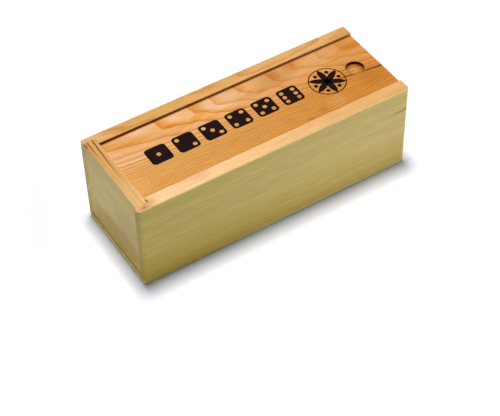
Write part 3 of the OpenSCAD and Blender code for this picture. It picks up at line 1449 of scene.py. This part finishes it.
@dataclass
class LidMarks:
    """The plain marks printed on the lid: a row of pip faces, and a rosette by the notch."""

    ink: InkFinish
    row_centre: Spot = (-13.2, 1.0)
    face_size: float = 13.0
    face_gap: float = 4.0
    face_radius: float = 2.2
    pip_diameter: float = 2.6
    pip_pitch: float = 3.7
    rosette_centre: Spot = (53.2, -0.8)
    rosette_radius: float = 9.6
    petal_spread: float = 1.07
    petals: int = 6
    dot_diameter: float = 2.4
    dot_reach: float = 0.80
    rim_radius: float = 11.1
    rim_width: float = 0.65
    film: float = 0.03
    slab: float = 2.0

    def face(self, number: int, pips: Pips, lid_top: float) -> bpy.types.Object:
        """One rounded square with its pips left open.

        Args:
            number: The face's place in the row, from 0.
            pips: The value that it shows.
            lid_top: The level of the lid's top, in millimetres.

        Returns:
            The face, as a slab that is still thick.
        """
        pitch = self.face_size + self.face_gap
        x = self.row_centre[0] + (number - (len(Pips) - 1) / 2) * pitch
        y = self.row_centre[1]
        piece = Bench.block(f"pip_face_{number + 1}", (x, y, lid_top),
                            (self.face_size, self.face_size, self.slab))
        Bench.edit(
            piece, lambda a, b: abs(a.z - b.z) > self.slab * MM / 2,
            lambda: bpy.ops.mesh.bevel(offset=self.face_radius * MM, segments=6,
                                       affect="EDGES"))
        holes = [
            Bench.disc("pip", (x + i * self.pip_pitch, y + j * self.pip_pitch, lid_top),
                       self.pip_diameter / 2, self.slab * 2, 28)
            for i, j in pips.value
        ]
        Bench.combine(piece, holes, "DIFFERENCE")
        return piece

    def petal(self, number: int, lid_top: float) -> bpy.types.Object:
        """One petal, the lens where two compass circles cross.

        Args:
            number: The petal's place round the rosette, from 0.
            lid_top: The level of the lid's top, in millimetres.

        Returns:
            The petal, as a slab that is still thick.
        """
        middle = number * 2 * math.pi / self.petals + math.pi / 2
        reach = self.rosette_radius
        lens = [
            Bench.disc(
                f"petal_{number + 1}",
                (self.rosette_centre[0] + reach * math.cos(middle + turn),
                 self.rosette_centre[1] + reach * math.sin(middle + turn), lid_top),
                reach * self.petal_spread, self.slab, 96)
            for turn in (math.pi / 3, -math.pi / 3)
        ]
        Bench.combine(lens[0], lens[1:], "INTERSECT")
        return lens[0]

    def dot(self, number: int, lid_top: float) -> bpy.types.Object:
        """One round dot between two petals."""
        middle = (number + 0.5) * 2 * math.pi / self.petals + math.pi / 2
        reach = self.rosette_radius * self.dot_reach
        return Bench.disc(
            f"dot_{number + 1}",
            (self.rosette_centre[0] + reach * math.cos(middle),
             self.rosette_centre[1] + reach * math.sin(middle), lid_top),
            self.dot_diameter / 2, self.slab, 28)

    def rim(self, lid_top: float) -> bpy.types.Object:
        """The thin circle round the rosette."""
        centre = (*self.rosette_centre, lid_top)
        ring = Bench.disc("rim", centre, self.rim_radius, self.slab, 128)
        hole = Bench.disc("rim_hole", centre, self.rim_radius - self.rim_width, self.slab * 2, 128)
        Bench.combine(ring, [hole], "DIFFERENCE")
        return ring

    def build(self) -> list[bpy.types.Object]:
        """Model the marks, press them to a film of ink and let them ride on the lid.

        Returns:
            The two printed pieces.
        """
        lid_top = corners("lid")[1][2]
        faces = [self.face(i, pips, lid_top) for i, pips in enumerate(Pips)]
        leaves = [self.petal(i, lid_top) for i in range(self.petals)]
        dots = [self.dot(i, lid_top) for i in range(self.petals)]
        rosette = [*leaves, *dots, self.rim(lid_top)]
        pieces = [Bench.join("printed_row", faces), Bench.join("printed_rosette", rosette)]
        material = self.ink.material()
        for piece in pieces:
            Bench.flatten(piece, lid_top, self.film)
            piece.data.materials.clear()
            piece.data.materials.append(material)
            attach(piece, "lid")
            log.info("%s: %d faces, rides on the lid", piece.name, len(piece.data.polygons))
        return pieces


@dataclass
class Lid:
    """The sliding lid with its finger notch and its printed marks."""

    pine: LidPine
    marks: LidMarks

    def finish(self) -> None:
        """Dress the lid, whose underside stayed bare, and print on it."""
        low, high = corners("lid")
        under = Cavity((low[0] - 1, low[1] - 1, low[2] - 1),
                       (high[0] + 1, high[1] + 1, low[2] + 0.4))
        dress("lid", self.pine.material(low, high, under))
        self.marks.build()


@dataclass(frozen=True)
class Lamp:
    """A soft box, by its place, its width and depth in metres and its power in watts."""

    name: str
    place: Point
    size: Spot
    power: float


@dataclass(frozen=True)
class Viewpoint:
    """The camera: its place in metres, its turn in degrees and its lens in millimetres."""

    place: Point = (-0.30730, -0.50326, 0.61175)
    azimuth: float = -31.4484
    elevation: float = 46.8965
    roll: float = -1.3961
    lens: float = 105.4
    sensor: float = 36.0

    def turn(self) -> Matrix:
        """The camera's rotation.

        Returns:
            A matrix whose columns are the camera's right, up and backward directions.
        """
        side, rise = math.radians(self.azimuth), math.radians(self.elevation)
        back = Vector((math.sin(side) * math.cos(rise), -math.cos(side) * math.cos(rise),
                       math.sin(rise)))
        right = (-back).cross(Vector((0.0, 0.0, 1.0))).normalized()
        up = right.cross(-back)
        roll = math.radians(self.roll)
        level = right * math.cos(roll) + up * math.sin(roll)
        upright = up * math.cos(roll) - right * math.sin(roll)
        return Matrix((level, upright, back)).transposed()


@dataclass
class Studio:
    """The pale floor, the soft lamps, the world and the camera."""

    lamps: tuple[Lamp, ...]
    viewpoint: Viewpoint
    sky: float = 0.10
    floor_size: float = 6.0
    floor_colour: Colour = (0.90, 0.90, 0.90)
    seen_colour: Colour = (0.955, 0.975, 1.0)
    lift_colour: Colour = (0.020, 0.032, 0.075)
    fade: Spot = (0.12, 0.26)

    def build(self) -> None:
        """Set up everything round the box."""
        scene = bpy.context.scene
        scene.view_settings.view_transform = "Standard"
        self.world(scene)
        self.floor()
        for lamp in self.lamps:
            self.light(lamp)
        self.camera(scene)

    def world(self, scene: bpy.types.Scene) -> None:
        """An even sky, which is plain white where the camera sees it."""
        world = bpy.data.worlds.new("studio_sky")
        world.use_nodes = True
        world.node_tree.nodes.clear()
        graph = Graph(world.node_tree)
        seen = self.seen(graph)
        sky = graph.add("ShaderNodeBackground")
        graph.plug((1.0, 1.0, 1.0), sky.inputs["Color"])
        graph.plug(seen * (1.0 - self.sky) + self.sky, sky.inputs["Strength"])
        output = graph.add("ShaderNodeOutputWorld")
        world.node_tree.links.new(sky.outputs[0], output.inputs["Surface"])
        scene.world = world

    @staticmethod
    def seen(graph: Graph) -> Field:
        """1 for rays that show the background: from the camera, or through glass."""
        path = graph.add("ShaderNodeLightPath")
        camera = Field(graph, path.outputs["Is Camera Ray"])
        return camera.at_least(Field(graph, path.outputs["Is Transmission Ray"]))

    def floor(self) -> None:
        """A wide pale floor that keeps the box's shadow and turns white further out."""
        Bench.clear()
        bpy.ops.mesh.primitive_plane_add(size=self.floor_size, location=(0.0, 0.0, 0.0))
        floor = bpy.context.object
        floor.name = "floor"
        material, graph, shader = new_material("studio_floor")
        node = graph.add("ShaderNodeTexCoord")
        x, y, _ = graph.split(Field(graph, node.outputs["Object"]))
        far = (x * x + y * y).root().rise(*self.fade)
        graph.plug(graph.blend(self.seen(graph), self.floor_colour, self.seen_colour),
                   shader.inputs["Base Color"])
        graph.plug(0.9, shader.inputs["Roughness"])
        graph.plug(0.0, shader.inputs["Specular IOR Level"])
        # The glow is painted light for camera rays: a faint bluish lift that tints the box's shadow
        # near the box, and white further out.
        glow = graph.add("ShaderNodeEmission")
        graph.plug(graph.blend(far, self.lift_colour, (1.0, 1.0, 1.0)), glow.inputs["Color"])
        graph.plug(self.seen(graph), glow.inputs["Strength"])
        both = graph.add("ShaderNodeAddShader")
        links = material.node_tree.links
        links.new(shader.outputs[0], both.inputs[0])
        links.new(glow.outputs[0], both.inputs[1])
        output = next(n for n in material.node_tree.nodes if n.type == "OUTPUT_MATERIAL")
        links.new(both.outputs[0], output.inputs["Surface"])
        floor.data.materials.append(material)

    @staticmethod
    def light(lamp: Lamp) -> None:
        """Hang one soft box and aim it at the box."""
        data = bpy.data.lights.new(lamp.name, "AREA")
        data.shape = "RECTANGLE"
        data.size, data.size_y = lamp.size
        data.energy = lamp.power
        item = bpy.data.objects.new(lamp.name, data)
        bpy.context.scene.collection.objects.link(item)
        item.location = lamp.place
        aim = Vector((0.0, 0.0, 0.03)) - Vector(lamp.place)
        item.rotation_euler = aim.to_track_quat("-Z", "Y").to_euler()

    def camera(self, scene: bpy.types.Scene) -> None:
        """Stand the camera where the photograph was taken from."""
        data = bpy.data.cameras.new("camera")
        data.lens = self.viewpoint.lens
        data.sensor_width = self.viewpoint.sensor
        data.clip_start, data.clip_end = 0.02, 20.0
        camera = bpy.data.objects.new("camera", data)
        scene.collection.objects.link(camera)
        camera.matrix_world = Matrix.Translation(self.viewpoint.place) @ (
            self.viewpoint.turn().to_4x4())
        scene.camera = camera


def main() -> None:
    """Dress the box, print the lid and build the studio."""
    logging.basicConfig(level=logging.INFO, format="%(name)s: %(message)s")
    # Shared by both side boards. The olive spring and summer are partly the pine's own tone, partly
    # painted shade: a cooler copy of the pine that the tops show warmer.
    face = dict(spring=(0.72, 0.583, 0.162), summer=(0.58, 0.40, 0.08), contrast=0.24,
                # far_tint is painted light here: the side boards lighten towards +X.
                far_tint=(1.36, 1.31, 1.79), streak_range=0.20, dash_range=0.27,
                patch_range=0.17, tone_range=0.08)
    carcass = Carcass(
        front=SidePine(
            "front_pine", **face, outer_face=-32.5, end_grain=(0.84, 0.82, 0.86),
            top_tint=(1.35, 1.05, 1.90), top_far_tint=(1.08, 0.74, 0.95),
            splits=(Split((70.0, 41.6), (87.6, 43.0), 0.34),),
            knots=(Knot((-79.6, -27.3), 0.75, 1.0), Knot((-81.4, -28.8), 0.5, 0.35, 0.6),
                   Knot((-82.8, -30.7), 1.8, 0.8, 0.75, (0.55, 0.24, 0.07))),
            foot=(2.0, 34.0), foot_shade_tint=(0.80, 0.75, 0.42),
            patches=(Patch((-82.5, -29.0), 9.0, 6.0, (0.79, 0.69, 0.58)),
                     Patch((-45.0, -28.5), 24.0, 7.0, (1.00, 0.99, 1.06)),
                     Patch((78.0, -28.5), 12.0, 7.0, (0.95, 0.94, 0.95))),
            pith=(0.0, -20.0, -92.0), ring_width=2.4, wander=3.4),
        back=SidePine(
            "back_pine", **face, outer_face=32.5, end_grain=(1.12, 1.11, 1.35),
            top_tint=(1.03, 0.69, 0.84), top_far_tint=(1.03, 0.69, 0.90), top_contrast=0.9,
            arris=(28.6, 31.2), arris_shade_tint=(0.24, 0.23, 0.18), foot_shade_tint=(0.97, 0.98, 1.0),
            wall_light_tint=(1.37, 1.52, 3.1),
            patches=(Patch((-84.0, 29.5), 12.0, 6.0, (1.04, 1.11, 1.40)),
                     Patch((5.0, 28.5), 16.0, 7.0, (0.95, 0.93, 0.88)),
                     Patch((-42.0, 28.5), 30.0, 7.0, (0.92, 0.90, 0.78))),
            pith=(0.0, 22.0, -20.0), shift=310.0, ring_width=2.6, wander=7.0),
        ends=EndPine(
            "end_pine", spring=(0.83, 0.655, 0.25), summer=(0.66, 0.43, 0.11), contrast=0.30,
            top_tint=(0.85, 0.585, 0.50), foot_shade_tint=(0.89, 0.82, 0.56), grain=Grain.CROSSWAYS,
            tone_range=0.03, streak_range=0.26, dash_range=0.36, ring_width=2.75,
            pith=(0.0, -300.0, 20.0), wander=0.2, taper=0.0, first_ring=0.35,
            splits=(Split((-14.0, -83.2), (29.0, -81.6), 0.50, 0.9),
                    Split((8.0, -84.7), (28.0, -84.7), 0.42, 0.7)),
            top_patches=(Patch((-24.0, -83.0), 20.0, 6.0, (1.10, 1.18, 1.40)),
                         Patch((20.0, -86.0), 16.0, 1.6, (0.98, 0.84, 0.66)),
                         Patch((26.2, -86.7), 2.4, 0.7, (0.60, 0.36, 0.08))),
            patches=(Patch((14.0, 38.0), 16.0, 18.0, (1.04, 1.03, 1.05)),
                     Patch((-18.0, 29.0), 20.0, 14.0, (0.88, 0.85, 0.78)),
                     Patch((-10.0, 50.0), 30.0, 6.0, (1.06, 1.08, 1.02)),
                     # Painted light: this patch and the next lighten the end board along its joint
                     # with the back board, where the step's shade falls.
                     Patch((27.8, 26.0), 2.6, 44.0, (1.12, 1.15, 1.28)),
                     Patch((28.0, 4.5), 2.6, 5.0, (1.08, 1.14, 1.40)),
                     Patch((26.4, 57.2), 2.0, 1.0, (0.66, 0.44, 0.14)),
                     # Painted shade: a darker band low on the end face.
                     Patch((-6.0, 14.0), 32.0, 9.0, (0.80, 0.74, 0.62)))),
        sheet=SheetFinish("base_sheet", face=(0.90, 0.77, 0.25), flat=(0.82, 0.63, 0.38),
                          core=(0.97, 0.87, 0.38), glue=(0.30, 0.20, 0.07)),
        steel=SteelFinish("brad_steel", bright=(0.62, 0.61, 0.59), dull=(0.33, 0.31, 0.29),
                          roughness=0.36),
    )
    lid = Lid(
        LidPine("lid_pine", spring=(0.86, 0.50, 0.25), summer=(0.81, 0.35, 0.058),
                tone_range=0.08, dash_range=0.14, drift=(-85.0, 95.0), first_ring=60.0,
                far_tint=(0.84, 0.66, 0.38),
                patches=(
                    Patch((-70.0, 18.0), 15.0, 8.0, (0.94, 0.87, 0.74)),
                    Patch((-62.0, 16.5), 15.0, 2.8, (0.95, 0.81, 0.46)),
                    Patch((-60.0, 22.2), 16.0, 2.4, (1.01, 1.07, 1.25)),
                    Patch((-68.0, 4.5), 13.0, 2.8, (0.97, 1.04, 1.35)),
                    Patch((-35.5, 20.0), 3.6, 4.4, (1.0, 1.08, 1.30)),
                    Patch((-40.0, 16.5), 6.0, 2.2, (0.96, 0.82, 0.45)),
                    Patch((-31.0, 12.4), 8.0, 1.8, (0.96, 0.82, 0.48)),
                    Patch((-22.5, 15.0), 7.0, 2.4, (0.96, 0.80, 0.38)),
                    Patch((-14.0, 11.2), 6.0, 1.6, (0.96, 0.84, 0.50)),
                    Patch((-46.0, 15.0), 15.0, 8.0, (0.93, 0.88, 0.70)),
                    Patch((-6.0, 18.5), 13.0, 7.0, (1.03, 1.14, 1.46)),
                    Patch((9.0, 20.5), 2.6, 2.4, (0.88, 0.84, 0.80)),
                    Patch((11.0, 15.0), 3.6, 2.4, (0.90, 0.86, 0.78)),
                    Patch((17.5, 13.0), 4.5, 2.2, (0.93, 0.80, 0.58)),
                    Patch((20.5, 20.0), 9.0, 2.2, (1.0, 1.05, 1.05)),
                    Patch((32.0, 18.0), 17.0, 8.5, (0.84, 0.78, 0.68)),
                    Patch((30.5, 19.5), 3.6, 5.2, (0.93, 0.82, 0.66)),
                    Patch((42.0, 22.0), 5.0, 2.4, (0.93, 0.76, 0.54)),
                    Patch((40.5, 13.8), 7.5, 2.6, (1.02, 1.13, 1.60)),
                    Patch((55.0, 17.5), 9.0, 6.5, (0.98, 1.06, 1.22)),
                    Patch((64.5, 19.5), 4.6, 4.4, (0.98, 1.08, 1.50)),
                    Patch((67.5, 12.0), 6.5, 1.0, (0.92, 0.76, 0.45)),
                    Patch((82.0, 16.8), 11.5, 3.4, (0.93, 0.74, 0.36)),
                    Patch((48.5, -16.5), 6.5, 6.0, (1.07, 1.17, 1.65)),
                    Patch((-77.0, -14.0), 9.0, 9.0, (1.08, 1.10, 1.24)),
                    Patch((38.0, -19.0), 3.4, 2.4, (0.95, 0.84, 0.70)),
                    Patch((77.0, -13.0), 10.0, 7.0, (0.94, 0.88, 0.70)),
                )),
        LidMarks(InkFinish("marking_ink", full=(0.012, 0.003, 0.003),
                           thin=(0.034, 0.010, 0.008), roughness=0.7)),
    )
    carcass.finish()
    lid.finish()
    Studio(
        lamps=(
            Lamp("key_lamp", (0.02, 0.14, 1.50), (0.27, 0.32), 20.2),
            Lamp("side_lamp", (0.70, -0.50, 0.50), (0.40, 0.40), 0.9),
        ),
        viewpoint=Viewpoint(),
    ).build()


if __name__ == "__main__":
    main()
